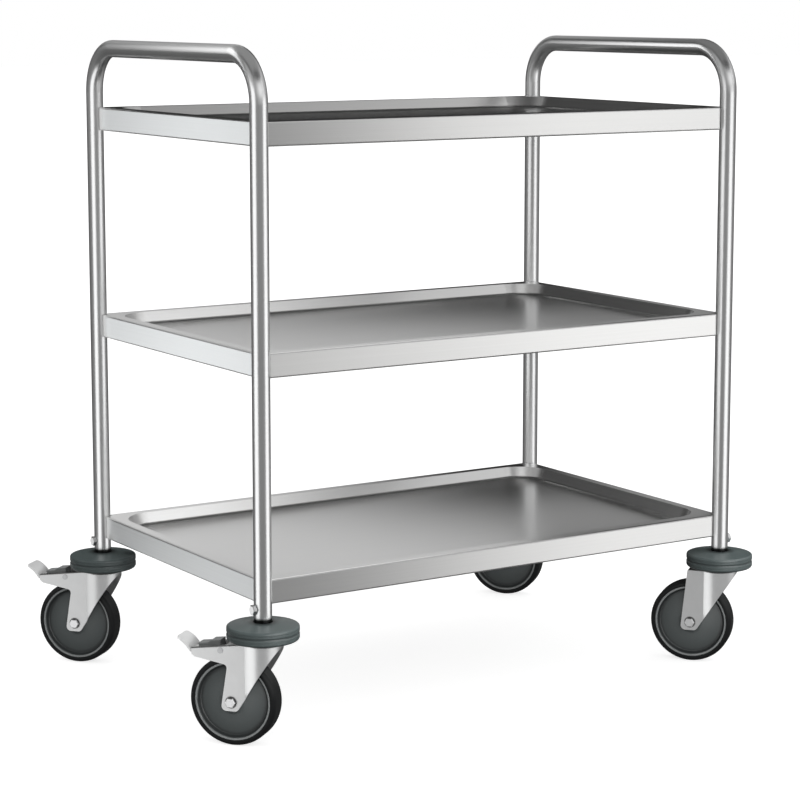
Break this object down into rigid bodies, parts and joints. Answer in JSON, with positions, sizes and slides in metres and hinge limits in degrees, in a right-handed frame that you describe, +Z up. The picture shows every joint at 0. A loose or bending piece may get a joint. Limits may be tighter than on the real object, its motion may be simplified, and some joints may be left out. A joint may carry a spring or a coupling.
{
  "type": "serving trolley",
  "caption": "Stainless steel serving trolley: bent tube side frames with push handles carry tray shelves on swivel castors with round wall bumpers and foot brakes",
  "frame": {"origin": "on the floor, under the middle of the trolley's box with the castors as they stand", "axes": "+Z up, X along the long side with the braked castors at -X, Y along the handle bars"},
  "size_m": [0.9386, 0.651, 0.95],
  "materials": {
    "tube_steel": "bright drawn",
    "sheet_steel": "satin",
    "bright_steel": "bright",
    "fork_steel": "bright zinc",
    "bumper_plastic": "matt",
    "wheel_plastic": "satin",
    "block_plastic": "satin",
    "tyre_rubber": "matt"
  },
  "bodies": {
    "trolley_frame": {"left_side_frame": "tube_steel", "right_side_frame": "tube_steel", "bottom_shelf": "sheet_steel", "middle_shelf": "sheet_steel", "top_shelf": "sheet_steel", "stem_screws": "bright_steel", "front_left_stem": "bright_steel", "front_left_king_washer": "bright_steel", "back_left_stem": "bright_steel", "back_left_king_washer": "bright_steel", "front_right_stem": "bright_steel", "front_right_king_washer": "bright_steel", "back_right_stem": "bright_steel", "back_right_king_washer": "bright_steel"},
    "front_left_bumper_ring": {"front_left_bumper": "bumper_plastic"},
    "front_left_swivel": {"front_left_fork": "fork_steel", "front_left_ball_rings": "bright_steel", "front_left_axle_bolt": "bright_steel", "front_left_axle_nut": "bright_steel", "front_left_axle_sleeve": "bright_steel", "front_left_pedal_pin": "bright_steel"},
    "front_left_wheel": {"front_left_wheel_core": "wheel_plastic", "front_left_tyre": "tyre_rubber"},
    "front_left_brake": {"front_left_pedal": "fork_steel", "front_left_brake_block": "block_plastic"},
    "back_left_bumper_ring": {"back_left_bumper": "bumper_plastic"},
    "back_left_swivel": {"back_left_fork": "fork_steel", "back_left_ball_rings": "bright_steel", "back_left_axle_bolt": "bright_steel", "back_left_axle_nut": "bright_steel", "back_left_axle_sleeve": "bright_steel", "back_left_pedal_pin": "bright_steel"},
    "back_left_wheel": {"back_left_wheel_core": "wheel_plastic", "back_left_tyre": "tyre_rubber"},
    "back_left_brake": {"back_left_pedal": "fork_steel", "back_left_brake_block": "block_plastic"},
    "front_right_bumper_ring": {"front_right_bumper": "bumper_plastic"},
    "front_right_swivel": {"front_right_fork": "fork_steel", "front_right_ball_rings": "bright_steel", "front_right_axle_bolt": "bright_steel", "front_right_axle_nut": "bright_steel", "front_right_axle_sleeve": "bright_steel"},
    "front_right_wheel": {"front_right_wheel_core": "wheel_plastic", "front_right_tyre": "tyre_rubber"},
    "back_right_bumper_ring": {"back_right_bumper": "bumper_plastic"},
    "back_right_swivel": {"back_right_fork": "fork_steel", "back_right_ball_rings": "bright_steel", "back_right_axle_bolt": "bright_steel", "back_right_axle_nut": "bright_steel", "back_right_axle_sleeve": "bright_steel"},
    "back_right_wheel": {"back_right_wheel_core": "wheel_plastic", "back_right_tyre": "tyre_rubber"}
  },
  "joints": [
    {"name": "front_left_swivel_turn", "type": "hinge", "parent": "trolley_frame", "child": "front_left_swivel", "pos_m": [-0.38072, -0.27553, 0.145], "axis": [0, 0, 1], "continuous": true},
    {"name": "front_left_wheel_spin", "type": "hinge", "parent": "front_left_swivel", "child": "front_left_wheel", "pos_m": [-0.40643, -0.24489, 0.0625], "axis": [-0.766, -0.6428, 0], "continuous": true},
    {"name": "front_left_bumper_turn", "type": "hinge", "parent": "trolley_frame", "child": "front_left_bumper_ring", "pos_m": [-0.38072, -0.27553, 0.1495], "axis": [0, 0, 1], "continuous": true},
    {"name": "front_left_pedal_press", "type": "hinge", "parent": "front_left_swivel", "child": "front_left_brake", "pos_m": [-0.41607, -0.2334, 0.134], "axis": [-0.766, -0.6428, 0], "range_deg": [0, 14]},
    {"name": "back_left_swivel_turn", "type": "hinge", "parent": "trolley_frame", "child": "back_left_swivel", "pos_m": [-0.38072, 0.22447, 0.145], "axis": [0, 0, 1], "continuous": true},
    {"name": "back_left_wheel_spin", "type": "hinge", "parent": "back_left_swivel", "child": "back_left_wheel", "pos_m": [-0.40643, 0.25511, 0.0625], "axis": [-0.766, -0.6428, 0], "continuous": true},
    {"name": "back_left_bumper_turn", "type": "hinge", "parent": "trolley_frame", "child": "back_left_bumper_ring", "pos_m": [-0.38072, 0.22447, 0.1495], "axis": [0, 0, 1], "continuous": true},
    {"name": "back_left_pedal_press", "type": "hinge", "parent": "back_left_swivel", "child": "back_left_brake", "pos_m": [-0.41607, 0.2666, 0.134], "axis": [-0.766, -0.6428, 0], "range_deg": [0, 14]},
    {"name": "front_right_swivel_turn", "type": "hinge", "parent": "trolley_frame", "child": "front_right_swivel", "pos_m": [0.41928, -0.27553, 0.145], "axis": [0, 0, 1], "continuous": true},
    {"name": "front_right_wheel_spin", "type": "hinge", "parent": "front_right_swivel", "child": "front_right_wheel", "pos_m": [0.39357, -0.24489, 0.0625], "axis": [-0.766, -0.6428, 0], "continuous": true},
    {"name": "front_right_bumper_turn", "type": "hinge", "parent": "trolley_frame", "child": "front_right_bumper_ring", "pos_m": [0.41928, -0.27553, 0.1495], "axis": [0, 0, 1], "continuous": true},
    {"name": "back_right_swivel_turn", "type": "hinge", "parent": "trolley_frame", "child": "back_right_swivel", "pos_m": [0.41928, 0.22447, 0.145], "axis": [0, 0, 1], "continuous": true},
    {"name": "back_right_wheel_spin", "type": "hinge", "parent": "back_right_swivel", "child": "back_right_wheel", "pos_m": [0.39357, 0.25511, 0.0625], "axis": [-0.766, -0.6428, 0], "continuous": true},
    {"name": "back_right_bumper_turn", "type": "hinge", "parent": "trolley_frame", "child": "back_right_bumper_ring", "pos_m": [0.41928, 0.22447, 0.1495], "axis": [0, 0, 1], "continuous": true}
  ]
}
